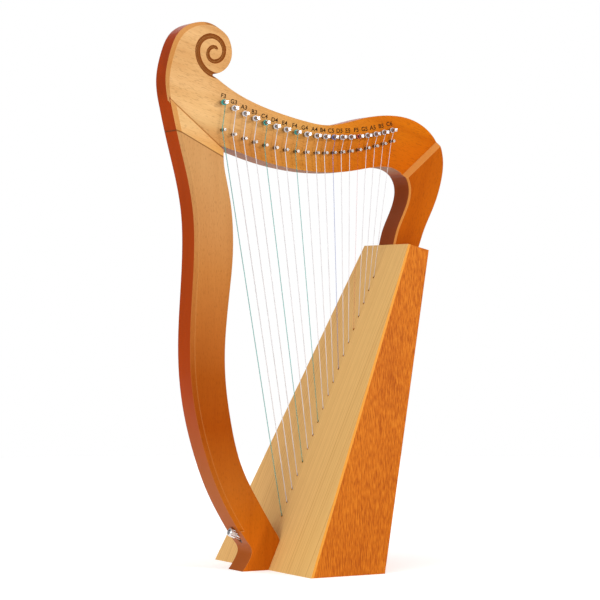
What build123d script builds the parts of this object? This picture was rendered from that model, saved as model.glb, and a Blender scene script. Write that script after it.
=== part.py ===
from build123d import *
import math
import os

# Small 19-string lap harp. Millimetres, +Z up, X from the pillar to the soundbox in the plane of
# the strings, Y across. Outlines are drawn from the toe, the lower front edge of the soundboard,
# and everything is exported about the middle of the harp's footprint.

# ---------------------------------------------------------------- driving dimensions
TOE_X = -60.0  # the toe, seen from the origin of the finished part

FRAME_THICKNESS = 37.0
FRAME_BACK = FRAME_THICKNESS / 2
FRAME_FRONT = -FRAME_THICKNESS / 2
MILL_DEPTH = 6.0  # how far the neck's pin face lies below the pillar and the arm
PIN_FACE = FRAME_FRONT + MILL_DEPTH
CHEEK_BEVEL = 4.0  # run of the bevel on the pillar side of the pin face
ARM_BEVEL = 6.0  # run of the bevel on the arm side
OUTER_CHAMFER = 4.5
HEAD_CHAMFER = 5.0
HEAD_LEAN = (0.58, -0.81)  # which way the chamfer round the scroll leans inwards
INNER_CHAMFER = 2.0

BOARD_TOP = (182.4, 405.0)  # front top edge of the soundboard
BOX_TOP_REAR = (212.0, 397.5)
BOX_BASE_DEPTH = 104.0
BASE_HALF_WIDTH = 124.0
TOP_HALF_WIDTH = 53.5
BOARD_THICKNESS = 3.2
SIDE_THICKNESS = 8.0
BACK_THICKNESS = 4.0
BOTTOM_THICKNESS = 8.0
TOP_BLOCK_LENGTH = 26.0
RIB_WIDTH = 18.0
RIB_THICKNESS = 5.0
FOOT_BLOCK = (32.0, 60.0, 50.0)  # depth behind the board, width, top above the base
SOUND_HOLES = ((95.0, 30.0), (190.0, 25.0), (275.0, 19.0))  # distance up the back, radius

NOTES = [letter + octave for octave in "3456" for letter in "CDEFGAB"]
NOTES = NOTES[NOTES.index("F3"): NOTES.index("C6") + 1]

STRING_HOLE_RADIUS = 1.8
FIRST_STRING_HOLE = 70.8  # up the soundboard from the toe
STRING_HOLE_PITCH = 18.22
THICKEST_STRING = 1.1
THINNEST_STRING = 0.6
KNOT_RADIUS = 2.3
STRING_BEND_RADIUS = 2.0  # where a string turns into its hole

FIRST_PIN_X = -62.5
LOW_PIN_PITCH = 14.65  # between the pins of the thicker strings
HIGH_PIN_PITCH = 12.35
LOW_GAPS = 9  # how many of the gaps have the wider pitch
TUNING_ARC = (92.7, 538.6, 0.00154)  # x and z of the lowest pin, and the curve's steepness
BRIDGE_ARC = (66.7, 518.2, 0.00144)

PIN_RADIUS = 2.5
PIN_CLEARANCE = 0.05
PIN_DEPTH = 24.0  # into the neck
PIN_PROUD = 14.6  # out of the pin face
PIN_HEAD_LENGTH = 5.2
PIN_HEAD_SQUARE = 3.9
PIN_EYE_RADIUS = 0.8
PIN_EYE_BELOW_HEAD = 1.0
COIL_STANDOFF = 4.6  # from the pin face to the coil
COIL_TURNS = 3

BRIDGE_PIN_RADIUS = 1.9
BRIDGE_GROOVE_RADIUS = 1.4
BRIDGE_GROOVE_WIDTH = 2.6
BRIDGE_PIN_DEPTH = 14.0
BRIDGE_PIN_PROUD = 10.0
BRIDGE_STANDOFF = 5.8  # from the pin face to the string

DOWEL_RADIUS = 4.0
DOWEL_LENGTH = 40.0
GLUE_GAP = 0.05  # round a dowel, a tenon or a bridge pin in its hole
TENON = (16.0, 25.0, 22.0)  # depth, width, length below the soundbox's top
TENON_FROM_FACE = 6.5

BOLT_FACE = (-33.0, 43.0)  # where the bolt's axis leaves the pillar's outer face
BOLT_RADIUS = 3.0
BOLT_HOLE_RADIUS = 3.3
BOLT_HEAD_RADIUS = 5.6
BOLT_HEAD_LENGTH = 10.0
BOLT_HEAD_PROUD = 13.5  # from the pillar's outer face to the end of the head, along the axis
BOLT_COLLAR_RADIUS = 4.0
BOLT_SEAT = 9.0  # depth of the counterbore along the axis
COUNTERBORE_RADIUS = 6.3
WASHER_RADIUS = 6.0
WASHER_THICKNESS = 1.5
HEX_SOCKET_RADIUS = 2.9
INSERT_RADIUS = 5.0
INSERT_LENGTH = 20.0

FAR = 900.0  # longer than anything that it has to cut through

# ---------------------------------------------------------------- directions in the box
BOARD_LENGTH = math.hypot(*BOARD_TOP)
BOARD_UP = Vector(BOARD_TOP[0], 0, BOARD_TOP[1]).normalized()
INWARD = Vector(BOARD_UP.Z, 0, -BOARD_UP.X)  # from the soundboard's face into the box
BACK_UP = Vector(BOX_TOP_REAR[0] - BOX_BASE_DEPTH, 0, BOX_TOP_REAR[1]).normalized()
BACK_INWARD = Vector(-BACK_UP.Z, 0, BACK_UP.X)
SIDE_SLOPE = (BASE_HALF_WIDTH - TOP_HALF_WIDTH) / BOARD_TOP[1]
Y_AXIS = Vector(0, 1, 0)


def at(x, z, y=0.0):
    """A point of the side view, which is drawn in x and z."""
    return Vector(x, y, z)


def at_side(vector):
    """A direction as the side view shows it."""
    return Vector(vector.X, 0, vector.Z)


def on_board(distance, depth=0.0):
    """The point a distance up the soundboard's centreline, and a depth into the box."""
    return BOARD_UP * distance + INWARD * depth


def slab(edges, low, high):
    """The closed outline in the side view, thickened from one y to another."""
    return Pos(0, low, 0) * extrude(make_face(edges), amount=high - low, dir=(0, 1, 0))


def prism(corners, low, high):
    """A slab with straight sides through the corners."""
    points = [at(*corner) for corner in corners]
    return slab([Line(a, b) for a, b in zip(points, points[1:] + points[:1])], low, high)


def rod(start, direction, radius, length):
    """A round bar from a point along a direction."""
    return Plane(origin=start, z_dir=direction) * Cylinder(
        radius, length, align=(Align.CENTER, Align.CENTER, Align.MIN)
    )


def block(origin, along, across, size):
    """A box on a point: size[0] along one direction, size[1] along y, centred, size[2] along the other."""
    return Plane(origin=origin, x_dir=along, z_dir=across) * Box(
        *size, align=(Align.MIN, Align.CENTER, Align.MIN)
    )


# ---------------------------------------------------------------- the frame's side view
SHOULDER_TOP = (182.0, 569.7)
NOTCH = (-73.0, 608.5)
HEAD_LOW_CENTRE = (-74.9, 637.5)
HEAD_LOW_RADIUS = 27.0
HEAD_TOP_RADIUS = 36.5
HEAD_RIGHT = (HEAD_LOW_CENTRE[0] + HEAD_LOW_RADIUS, HEAD_LOW_CENTRE[1])
HEAD_TOP = (HEAD_RIGHT[0] - HEAD_TOP_RADIUS, HEAD_RIGHT[1] + HEAD_TOP_RADIUS)
ANKLE_TOP = (-38.5, 48.4)
FOOT_FRONT = (-36.5, 0.0)
FOOT_REAR_HEIGHT = 35.0
FOOT_REAR = (FOOT_REAR_HEIGHT * BOARD_UP.X / BOARD_UP.Z, FOOT_REAR_HEIGHT)
INNER_CORNER = (-62.5, 522.5)
PILLAR_JOINT = ((-123.5, 539.0), (-62.8, 508.7))
ARM_JOINT = ((200.0, 494.9), (250.9, 538.4))
CHEEK_LINE = ((-130.5, 576.9), (-63.5, 523.0))
CHEEK_TOP = (-133.4, 576.0)
CHEEK_SLOPE = (0.22, -0.975)
PILLAR_FOOT_SLOPE = (0.54, -0.842)
ARM_INNER_FOOT = (182.8, 404.9)
ARM_OUTER_FOOT = (217.5, 396.1)


def on_circle(centre, radius, degrees):
    """The point of a circle in the side view, by its angle from +X towards +Z."""
    angle = math.radians(degrees)
    return at(centre[0] + radius * math.cos(angle), centre[1] + radius * math.sin(angle))


def arc(centre, radius, start, end):
    """The part of a circle in the side view between two angles."""
    angles = (start, (start + end) / 2, end)
    return ThreePointArc(*[on_circle(centre, radius, angle) for angle in angles])


def curve(points, start=None, end=None):
    """A smooth line through points of the side view, with its directions at the ends."""
    tangents = [at(*direction) for direction in (start, end) if direction]
    scalars = {"tangent_scalars": [1.0] * len(tangents)} if tangents else {}
    return Spline([at(*point) for point in points], tangents=tangents, **scalars)


def head_back():
    """The outer edge of the scroll head, from its top down to the cheek."""
    points = [HEAD_TOP, (-116.5, 661.5), (-130.3, 635.0), (-136.5, 602.0), CHEEK_TOP]
    return curve(points, start=(-1, 0), end=CHEEK_SLOPE)


def column():
    """The outer edge of the pillar, from the cheek down to the ankle."""
    points = [
        CHEEK_TOP, (-122.5, 530.0), (-110.5, 484.5), (-102.5, 441.0), (-100.8, 397.0),
        (-103.3, 345.0), (-106.3, 290.0), (-105.6, 247.0), (-99.3, 198.0), (-85.8, 146.5),
        (-65.5, 95.0), ANKLE_TOP,
    ]
    return curve(points, start=CHEEK_SLOPE, end=PILLAR_FOOT_SLOPE)


def frame_edges():
    """The closed outline of neck, pillar and arm together, clockwise from the arm's foot."""
    shoulder = curve(
        [
            ARM_OUTER_FOOT, (228.0, 424.0), (243.0, 455.0), (254.0, 486.5), (257.3, 514.0),
            (250.5, 538.5), (233.5, 556.0), (209.0, 566.8), SHOULDER_TOP,
        ],
        start=(0.38, 0.92), end=(-1, 0),
    )
    crest = curve(
        [SHOULDER_TOP, (150.0, 566.6), (118.0, 558.8), (88.0, 553.8), (58.0, 557.2),
         (7.0, 569.6), (-43.5, 589.5), NOTCH],
        start=(-1, 0), end=(-0.80, 0.60),
    )
    notch_angle = -86.0
    head_low = arc(HEAD_LOW_CENTRE, HEAD_LOW_RADIUS, notch_angle, 0.0)
    lip = Line(at(*NOTCH), on_circle(HEAD_LOW_CENTRE, HEAD_LOW_RADIUS, notch_angle))
    head_centre = (HEAD_TOP[0], HEAD_RIGHT[1])
    head_top = arc(head_centre, HEAD_TOP_RADIUS, 0.0, 90.0)
    toe = curve(
        [ANKLE_TOP, (-30.2, 36.6), (-23.6, 25.5), (-28.0, 12.0), FOOT_FRONT],
        start=PILLAR_FOOT_SLOPE, end=(-0.62, -0.78),
    )
    sole = Line(at(*FOOT_FRONT), at(0, 0))
    seat = Line(at(0, 0), at(*FOOT_REAR))
    inner = curve(
        [
            FOOT_REAR, (9.4, 47.8), (2.6, 58.2), (-12.0, 82.0), (-29.5, 112.0), (-42.2, 142.0), (-52.5, 184.0),
            (-59.0, 226.0), (-61.0, 266.0), (-58.6, 306.0), (-54.2, 345.0), (-50.2, 383.0),
            (-49.6, 415.0), (-52.3, 449.0), (-57.9, 478.0), (-62.6, 505.0), INNER_CORNER,
        ],
        start=(-0.05, 1.0), end=(0.0, 1.0),
    )
    belly = curve(
        [
            INNER_CORNER, (-43.0, 517.2), (-14.5, 508.6), (20.0, 500.6), (57.0, 495.6),
            (90.0, 494.6), (120.0, 496.8), (150.0, 502.0), (167.0, 504.0), (184.3, 502.6),
            (199.0, 494.2), (206.0, 479.0), (204.6, 463.0), (197.4, 444.5), (188.0, 424.0),
            ARM_INNER_FOOT,
        ],
        start=(0.96, -0.28), end=(-0.22, -0.975),
    )
    foot = Line(at(*ARM_INNER_FOOT), at(*ARM_OUTER_FOOT))
    return [
        shoulder, crest, lip, head_low, head_top, head_back(), column(), toe, sole, seat, inner,
        belly, foot,
    ]


def beyond(joint, low, high, reach=FAR):
    """Everything on the lower right side of the line through a joint's two points."""
    a, b = at(*joint[0]), at(*joint[1])
    along = (b - a).normalized()
    down = Vector(along.Z, 0, -along.X)
    corners = [a - along * reach, b + along * reach]
    corners += [b + along * reach + down * reach, a - along * reach + down * reach]
    return prism([(corner.X, corner.Z) for corner in corners], low, high)


def bevel_cut(joint, run, side):
    """The wedge between a joint's line on the pin face and a parallel line on the front face.

    side is +1 where the bevel lies below the line and -1 where it lies above it. Past the line
    the cut clears the whole pin face when side is -1.
    """
    a, b = at(*joint[0]), at(*joint[1])
    along = (b - a).normalized()
    down = Vector(along.Z, 0, -along.X)
    over = 1.0
    slope = run / MILL_DEPTH
    section = [
        a + Y_AXIS * PIN_FACE,
        a + Y_AXIS * (FRAME_FRONT - over) + down * side * (run + slope * over),
        a + Y_AXIS * (FRAME_FRONT - over) - down * side * FAR,
        a + Y_AXIS * PIN_FACE - down * side * FAR,
    ]
    edges = [Line(p, q) for p, q in zip(section, section[1:] + section[:1])]
    face = make_face(edges)
    return extrude(face, amount=FAR, dir=along) + extrude(face, amount=FAR, dir=along * -1)


def spiral_groove():
    """The carved groove of the scroll: quarter circles, each tangent to the one before it."""
    radii = [29.5, 19.0, 17.5, 13.5, 9.0, 9.0, 3.2]
    widths = [7.0, 6.8, 6.2, 5.6, 5.2, 4.8, 4.0]
    depth_share = 0.5
    over = 0.5  # how far the cutter reaches out of the wood
    point = at(-65.7, 608.2)
    angle = 270.0
    cut = None
    for radius, width in zip(radii, widths):
        outward = at(math.cos(math.radians(angle)), math.sin(math.radians(angle)))
        centre = point - outward * radius
        depth = width * depth_share
        half = width / 2 * (1 + over / depth)
        corners = [
            point - outward * half + Y_AXIS * (PIN_FACE - over),
            point + outward * half + Y_AXIS * (PIN_FACE - over),
            point + Y_AXIS * (PIN_FACE + depth),
        ]
        edges = [Line(p, q) for p, q in zip(corners, corners[1:] + corners[:1])]
        turn = revolve(make_face(edges), axis=Axis(centre, Y_AXIS), revolution_arc=90.0)
        cut = turn if cut is None else cut + turn
        angle -= 90.0
        point = on_circle((centre.X, centre.Z), radius, angle)
    return cut


# ---------------------------------------------------------------- places of pins and strings
def pin_x(index):
    low = min(index, LOW_GAPS)
    return FIRST_PIN_X + LOW_PIN_PITCH * low + HIGH_PIN_PITCH * (index - low)


def on_pin_arc(x, spec):
    centre, low, steep = spec
    return low + steep * (x - centre) ** 2


def tuning_place(index):
    x = pin_x(index)
    return at(x, on_pin_arc(x, TUNING_ARC))


def bridge_place(index):
    x = pin_x(index)
    return at(x, on_pin_arc(x, BRIDGE_ARC))


def string_hole(index):
    return on_board(FIRST_STRING_HOLE + STRING_HOLE_PITCH * index)


def string_diameter(index):
    share = index / (len(NOTES) - 1)
    return THICKEST_STRING + (THINNEST_STRING - THICKEST_STRING) * share


# ---------------------------------------------------------------- bolt
BOLT_START = at(*BOLT_FACE)
BOLT_LENGTH_TO_BOARD = (BOARD_UP.X * BOLT_FACE[1] - BOARD_UP.Z * BOLT_FACE[0])


def bolt_point(depth):
    """A point on the bolt's axis, by its depth below the pillar's outer face."""
    return BOLT_START + INWARD * depth


INSERT_START = BOLT_LENGTH_TO_BOARD + BOARD_THICKNESS


# ---------------------------------------------------------------- frame parts
def dowels(joint):
    """Two dowels across a glued joint, at a third and two thirds of its length."""
    a, b = at(*joint[0]), at(*joint[1])
    along = (b - a).normalized()
    down = Vector(along.Z, 0, -along.X)
    places = [a + (b - a) * share for share in (1 / 3, 2 / 3)]
    pins = [rod(p - down * DOWEL_LENGTH / 2, down, DOWEL_RADIUS, DOWEL_LENGTH) for p in places]
    holes = [
        rod(p - down * (DOWEL_LENGTH / 2 + 1), down, DOWEL_RADIUS + GLUE_GAP, DOWEL_LENGTH + 2)
        for p in places
    ]
    return pins, holes


def chamfer_wedge(edges, corners, start_y, size, inward):
    """What a chamfer takes off along some outer edges of the frame, which follow each other.

    corners close an area of the side view whose one side is the edges. start_y is the face that
    the chamfer runs out on, and inward is the direction in the side view that it leans towards.
    """
    points = [edges[-1] @ 1] + [at(*corner) for corner in corners] + [edges[0] @ 0]
    face = Pos(0, start_y + size, 0) * make_face(
        edges + [Line(a, b) for a, b in zip(points, points[1:])]
    )
    lean = at(*inward).normalized() * size - Y_AXIS * size
    return extrude(face, amount=size, dir=-Y_AXIS) - extrude(face, amount=lean.length, dir=lean)


def tuning_hole(index):
    start = tuning_place(index) + Y_AXIS * (PIN_FACE + PIN_DEPTH + 1.0)
    return rod(start, -Y_AXIS, PIN_RADIUS + PIN_CLEARANCE, PIN_DEPTH + 3.0)


def bridge_hole(index):
    start = bridge_place(index) + Y_AXIS * (PIN_FACE + BRIDGE_PIN_DEPTH)
    return rod(start, -Y_AXIS, BRIDGE_PIN_RADIUS + GLUE_GAP, BRIDGE_PIN_DEPTH + 2.0)


def tenon(slack=0.0):
    """The arm's tenon, or with a slack the mortise that it sits in."""
    depth, width, length = TENON
    above = 6.0
    top = on_board(BOARD_LENGTH + above, TENON_FROM_FACE - slack)
    return block(top, INWARD, -BOARD_UP, (depth + 2 * slack, width + 2 * slack, above + length + slack))


def frame_parts():
    whole = slab(frame_edges(), FRAME_FRONT, FRAME_BACK)
    left = Pos(-FAR / 2 + 60.0, 0, 0) * Box(FAR, FAR, 4 * FAR)
    right = Pos(FAR / 2 + 120.0, 0, 0) * Box(FAR, FAR, 4 * FAR)
    pillar_zone = beyond(PILLAR_JOINT, -FAR, FAR) & left
    arm_zone = beyond(ARM_JOINT, -FAR, FAR) & right
    pillar_dowels, pillar_dowel_holes = dowels(PILLAR_JOINT)
    arm_dowels, arm_dowel_holes = dowels(ARM_JOINT)

    # the chamfer fades out where the scroll's edge runs the way that the chamfer leans
    fade = math.degrees(math.atan2(HEAD_LEAN[0], -HEAD_LEAN[1]))
    scroll_top = arc((HEAD_TOP[0], HEAD_RIGHT[1]), HEAD_TOP_RADIUS, fade, 90.0)
    beyond_fade = scroll_top @ 0 + at(*HEAD_LEAN) * 400.0
    column_wedge = chamfer_wedge(
        [column()],
        [(-300.0, 60.0), (-300.0, -200.0), (500.0, -200.0), (500.0, 900.0), (-300.0, 900.0),
         (-300.0, 600.0)],
        FRAME_FRONT, OUTER_CHAMFER, (0.97, 0.26),
    )
    head_wedge = chamfer_wedge(
        [scroll_top, head_back()],
        [(-300.0, 540.0), (-300.0, 300.0), (beyond_fade.X, 300.0), (beyond_fade.X, beyond_fade.Z)],
        PIN_FACE, HEAD_CHAMFER, HEAD_LEAN,
    )

    pillar = (whole & pillar_zone) - pillar_dowel_holes - column_wedge
    pillar -= rod(bolt_point(-FAR / 2), INWARD, COUNTERBORE_RADIUS, FAR / 2 + BOLT_SEAT)
    pillar -= rod(bolt_point(0), INWARD, BOLT_HOLE_RADIUS, FAR / 2)

    neck = whole - pillar_zone - arm_zone
    neck -= bevel_cut(CHEEK_LINE, CHEEK_BEVEL, 1)
    neck -= spiral_groove()
    neck -= column_wedge
    neck -= head_wedge
    holes = [tuning_hole(index) for index in range(len(NOTES))]
    holes += [bridge_hole(index) for index in range(len(NOTES))]
    for hole in holes + pillar_dowel_holes + arm_dowel_holes:
        neck -= hole

    arm = (whole & arm_zone) - bevel_cut(ARM_JOINT, ARM_BEVEL, 1)
    inner_edge = [
        edge
        for edge in arm.edges()
        if abs((edge @ 0.5).Y - FRAME_FRONT) < 0.01
        and edge.geom_type == GeomType.BSPLINE
        and (edge @ 0.5).X < 206.0
    ]
    arm = chamfer(inner_edge, INNER_CHAMFER) - arm_dowel_holes
    arm = (arm - below_cap()) + (tenon() & box_envelope())
    return {
        "pillar": pillar,
        "neck": neck,
        "shoulder_arm": arm,
        "pillar_dowels": Compound(children=pillar_dowels),
        "shoulder_dowels": Compound(children=arm_dowels),
    }


# ---------------------------------------------------------------- soundbox
CAP = ((BOARD_TOP[0], BOARD_TOP[1]), (BOX_TOP_REAR[0], BOX_TOP_REAR[1]))


def below_cap():
    """Everything under the plane of the soundbox's top."""
    return beyond(CAP, -FAR, FAR)


def half_width(z, inset=0.0):
    return BASE_HALF_WIDTH - SIDE_SLOPE * z - inset


def wedge(inset=0.0):
    """The space between the soundbox's two sides, each moved in by an inset."""
    top = 600.0
    outline = [
        at(-FAR, 0, half_width(0, inset)), at(-FAR, 0, -half_width(0, inset)),
        at(-FAR, top, -half_width(top, inset)), at(-FAR, top, half_width(top, inset)),
    ]
    edges = [Line(a, b) for a, b in zip(outline, outline[1:] + outline[:1])]
    return extrude(make_face(edges), amount=2 * FAR, dir=(1, 0, 0))


def box_envelope():
    corners = [(0, 0), BOARD_TOP, BOX_TOP_REAR, (BOX_BASE_DEPTH, 0)]
    return prism(corners, -FAR, FAR) & wedge()


def layer_behind(depth, thickness):
    """A slab parallel to the soundboard, from a depth behind its face."""
    start = on_board(-FAR, depth)
    return block(start, INWARD, BOARD_UP, (thickness, FAR, 3 * FAR))


def back_layer():
    start = at(BOX_BASE_DEPTH, 0) - BACK_UP * FAR
    return block(start, BACK_INWARD, BACK_UP, (BACK_THICKNESS, FAR, 3 * FAR))


def soundbox_parts():
    envelope = box_envelope()
    board = envelope & layer_behind(0, BOARD_THICKNESS)
    core = envelope - layer_behind(-FAR, FAR + BOARD_THICKNESS)
    inner = core & wedge(SIDE_THICKNESS)
    sides = (core - wedge(SIDE_THICKNESS)).solids()
    near, far = sorted(sides, key=lambda side: side.center().Y)

    back = inner & back_layer()
    for distance, radius in SOUND_HOLES:
        centre = at(BOX_BASE_DEPTH, 0) + BACK_UP * distance
        back -= rod(centre - BACK_INWARD * 20.0, BACK_INWARD, radius, 40.0)
    inner = inner - back_layer()

    bottom = inner & Pos(0, 0, BOTTOM_THICKNESS - FAR / 2) * Box(2 * FAR, FAR, FAR)
    inner = inner - Pos(0, 0, BOTTOM_THICKNESS - FAR / 2) * Box(2 * FAR, FAR, FAR)
    top = inner & block(
        on_board(BOARD_LENGTH - TOP_BLOCK_LENGTH, -50.0), INWARD, BOARD_UP, (300.0, FAR, 100.0)
    )
    top -= tenon(GLUE_GAP)

    depth, width, height = FOOT_BLOCK
    foot_start = on_board(0, BOARD_THICKNESS) - BOARD_UP * 100.0
    foot = inner & block(foot_start, INWARD, BOARD_UP, (depth, width, 100.0 + height))
    bolt_hole = rod(bolt_point(0), INWARD, BOLT_HOLE_RADIUS, INSERT_START + INSERT_LENGTH + 3.0)
    insert_hole = rod(bolt_point(INSERT_START), INWARD, INSERT_RADIUS, INSERT_LENGTH)
    foot = foot - bolt_hole - insert_hole
    board -= bolt_hole

    rib_end = BOARD_LENGTH - TOP_BLOCK_LENGTH
    rib = block(
        on_board(height, BOARD_THICKNESS), INWARD, BOARD_UP,
        (RIB_THICKNESS, RIB_WIDTH, rib_end - height),
    )
    holes = [
        rod(string_hole(i) - INWARD * 5.0, INWARD, STRING_HOLE_RADIUS, 20.0)
        for i in range(len(NOTES))
    ]
    return {
        "soundboard": board - holes,
        "side_panel_near": near,
        "side_panel_far": far,
        "back_panel": back,
        "bottom_board": bottom,
        "top_block": top,
        "foot_block": foot,
        "string_rib": rib - holes,
    }


# ---------------------------------------------------------------- pillar bolt
def bolt_parts():
    head = rod(bolt_point(-BOLT_HEAD_PROUD), INWARD, BOLT_HEAD_RADIUS, BOLT_HEAD_LENGTH)
    collar_start = BOLT_HEAD_LENGTH - BOLT_HEAD_PROUD
    washer_start = BOLT_SEAT - WASHER_THICKNESS
    collar = rod(
        bolt_point(collar_start), INWARD, BOLT_COLLAR_RADIUS, washer_start - collar_start
    )
    shank = rod(
        bolt_point(washer_start), INWARD, BOLT_RADIUS,
        INSERT_START + INSERT_LENGTH - 2.0 - washer_start,
    )
    socket_plane = Plane(origin=bolt_point(-BOLT_HEAD_PROUD), z_dir=INWARD)
    socket = extrude(socket_plane * RegularPolygon(HEX_SOCKET_RADIUS, 6), amount=4.0)
    washer = rod(bolt_point(washer_start), INWARD, WASHER_RADIUS, WASHER_THICKNESS)
    washer -= rod(bolt_point(washer_start), INWARD, BOLT_HOLE_RADIUS, WASHER_THICKNESS)
    insert = rod(bolt_point(INSERT_START), INWARD, INSERT_RADIUS, INSERT_LENGTH)
    insert -= rod(bolt_point(INSERT_START), INWARD, BOLT_RADIUS + 0.02, INSERT_LENGTH)
    return {
        "pillar_bolt": head + collar + shank - socket,
        "bolt_washer": washer,
        "bolt_insert": insert,
    }


# ---------------------------------------------------------------- pins and strings
def tuning_pin(index):
    """A steel pin with a square end for the key and an eye for the string."""
    place = tuning_place(index)
    inner_end = place + Y_AXIS * (PIN_FACE + PIN_DEPTH)
    shaft_length = PIN_DEPTH + PIN_PROUD - PIN_HEAD_LENGTH
    pin = rod(inner_end, -Y_AXIS, PIN_RADIUS, shaft_length)
    head_plane = Plane(origin=inner_end - Y_AXIS * shaft_length, z_dir=-Y_AXIS)
    square = extrude(head_plane * Rectangle(PIN_HEAD_SQUARE, PIN_HEAD_SQUARE), PIN_HEAD_LENGTH)
    pin += square & (head_plane * Cylinder(PIN_RADIUS, 3 * PIN_HEAD_LENGTH))
    eye = place + Y_AXIS * (PIN_FACE - PIN_PROUD + PIN_HEAD_LENGTH + PIN_EYE_BELOW_HEAD)
    return pin - rod(eye - Vector(10, 0, 0), Vector(1, 0, 0), PIN_EYE_RADIUS, 20.0)


def bridge_pin(index):
    """A small fixed pin with a groove that the string lies in."""
    place = bridge_place(index)
    inner_end = place + Y_AXIS * (PIN_FACE + BRIDGE_PIN_DEPTH)
    pin = rod(inner_end, -Y_AXIS, BRIDGE_PIN_RADIUS, BRIDGE_PIN_DEPTH + BRIDGE_PIN_PROUD)
    groove_start = place + Y_AXIS * (PIN_FACE - BRIDGE_STANDOFF + BRIDGE_GROOVE_WIDTH / 2)
    ring = rod(groove_start, -Y_AXIS, 2 * BRIDGE_PIN_RADIUS, BRIDGE_GROOVE_WIDTH)
    ring -= rod(groove_start, -Y_AXIS, BRIDGE_GROOVE_RADIUS, BRIDGE_GROOVE_WIDTH)
    return pin - ring


def string(index):
    """A string from its coil on the tuning pin, past the bridge pin, to its knot in the box."""
    thickness = string_diameter(index)
    radius = thickness / 2
    coil_length = COIL_TURNS * thickness
    coil_inner = PIN_RADIUS + PIN_CLEARANCE
    coil_middle = PIN_FACE - COIL_STANDOFF - coil_length / 2
    place = tuning_place(index)
    coil = rod(place + Y_AXIS * (coil_middle + coil_length / 2), -Y_AXIS, coil_inner + thickness,
               coil_length)
    coil -= rod(place, -Y_AXIS, coil_inner, FAR)

    hole = string_hole(index)
    pin = bridge_place(index) + Y_AXIS * (PIN_FACE - BRIDGE_STANDOFF)
    round_pin = BRIDGE_GROOVE_RADIUS + radius + 0.02
    winding = coil_inner + radius
    bend = pin - Vector(round_pin, 0, 0)
    for _ in range(4):  # the coil's tangent and the bend depend on each other
        fall = bend - place
        reach = math.hypot(fall.X, fall.Z)
        leave = math.atan2(fall.Z, fall.X) + math.acos(winding / reach)
        start = place + Vector(winding * math.cos(leave), coil_middle, winding * math.sin(leave))
        down, out = at_side(bend - start).normalized(), at_side(hole - bend).normalized()
        turn = math.acos(min(1.0, down.dot(out)))
        bend = pin - (out - down).normalized() * (round_pin / math.cos(turn / 2))
    knot = hole + INWARD * (BOARD_THICKNESS + RIB_THICKNESS + KNOT_RADIUS + 0.05)
    path = FilletPolyline(start, bend, hole, knot, radius=[round_pin, STRING_BEND_RADIUS])
    section = Plane(origin=start, z_dir=bend - start) * Circle(radius)
    tube = sweep(section, path=path)
    return coil + tube + Pos(knot) * Sphere(KNOT_RADIUS)


def main():
    parts = {**frame_parts(), **soundbox_parts(), **bolt_parts()}
    parts["bridge_pins"] = Compound(children=[bridge_pin(i) for i in range(len(NOTES))])
    for index, note in enumerate(NOTES):
        parts[f"tuning_pin_{note}"] = tuning_pin(index)
        parts[f"string_{note}"] = string(index)
    return parts


if __name__ == "__main__":
    os.makedirs("parts", exist_ok=True)
    for name, shape in main().items():
        export_step(Pos(TOE_X, 0, 0) * shape, f"parts/{name}.step")
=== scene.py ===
import math

import bpy
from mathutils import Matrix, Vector


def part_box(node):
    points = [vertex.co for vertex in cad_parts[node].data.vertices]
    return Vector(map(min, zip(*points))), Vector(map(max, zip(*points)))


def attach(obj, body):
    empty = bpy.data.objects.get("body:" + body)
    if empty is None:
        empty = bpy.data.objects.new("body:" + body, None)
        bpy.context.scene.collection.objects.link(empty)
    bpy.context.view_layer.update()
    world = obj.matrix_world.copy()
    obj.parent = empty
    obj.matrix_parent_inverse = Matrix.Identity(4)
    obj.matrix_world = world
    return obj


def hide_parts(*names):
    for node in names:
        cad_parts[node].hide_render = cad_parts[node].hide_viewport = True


# Looks for the lap harp. Metres, in the same frame as the CAD: +Z up, X from the pillar to the
# soundbox, Y across, with the tuning pins on the -Y side.

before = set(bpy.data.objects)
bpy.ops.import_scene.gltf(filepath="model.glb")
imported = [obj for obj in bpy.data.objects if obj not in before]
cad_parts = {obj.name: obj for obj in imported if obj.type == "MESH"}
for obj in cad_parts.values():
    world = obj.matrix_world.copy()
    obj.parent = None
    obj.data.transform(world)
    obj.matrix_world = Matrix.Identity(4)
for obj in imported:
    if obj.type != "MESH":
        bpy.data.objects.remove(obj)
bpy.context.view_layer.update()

MM = 0.001
NOTES = [
    "F3", "G3", "A3", "B3", "C4", "D4", "E4", "F4", "G4", "A4", "B4", "C5", "D5", "E5", "F5",
    "G5", "A5", "B5", "C6",
]
# coloured strings; the others are clear
GREEN_NOTES = ("F3", "C4", "F4")
BLUE_NOTES = ("C5",)
RED_NOTES = ("F5",)

# ---------------------------------------------------------------- places taken from the frame
board_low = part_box("soundboard")[0]
TOE = Vector((board_low.x, 0, board_low.z))
FRAME_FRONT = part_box("pillar")[0].y
PIN_FACE = FRAME_FRONT + 6.0 * MM
COIL_STANDOFF = 4.6 * MM  # from the pin face to the coil

BOARD_RUN, BOARD_HEIGHT = 182.4, 405.0  # the soundboard's face in the side view, mm
BOARD_RISE = math.atan2(BOARD_HEIGHT, BOARD_RUN)
BOARD_UP = Vector((math.cos(BOARD_RISE), 0, math.sin(BOARD_RISE)))
INWARD = Vector((BOARD_UP.z, 0, -BOARD_UP.x))
ACROSS = Vector((0, 1, 0))


def middle(node):
    """The middle of a node's box."""
    low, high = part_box(node)
    return (low + high) / 2


PIN_PLACES = [middle(f"tuning_pin_{note}") for note in NOTES]


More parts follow.
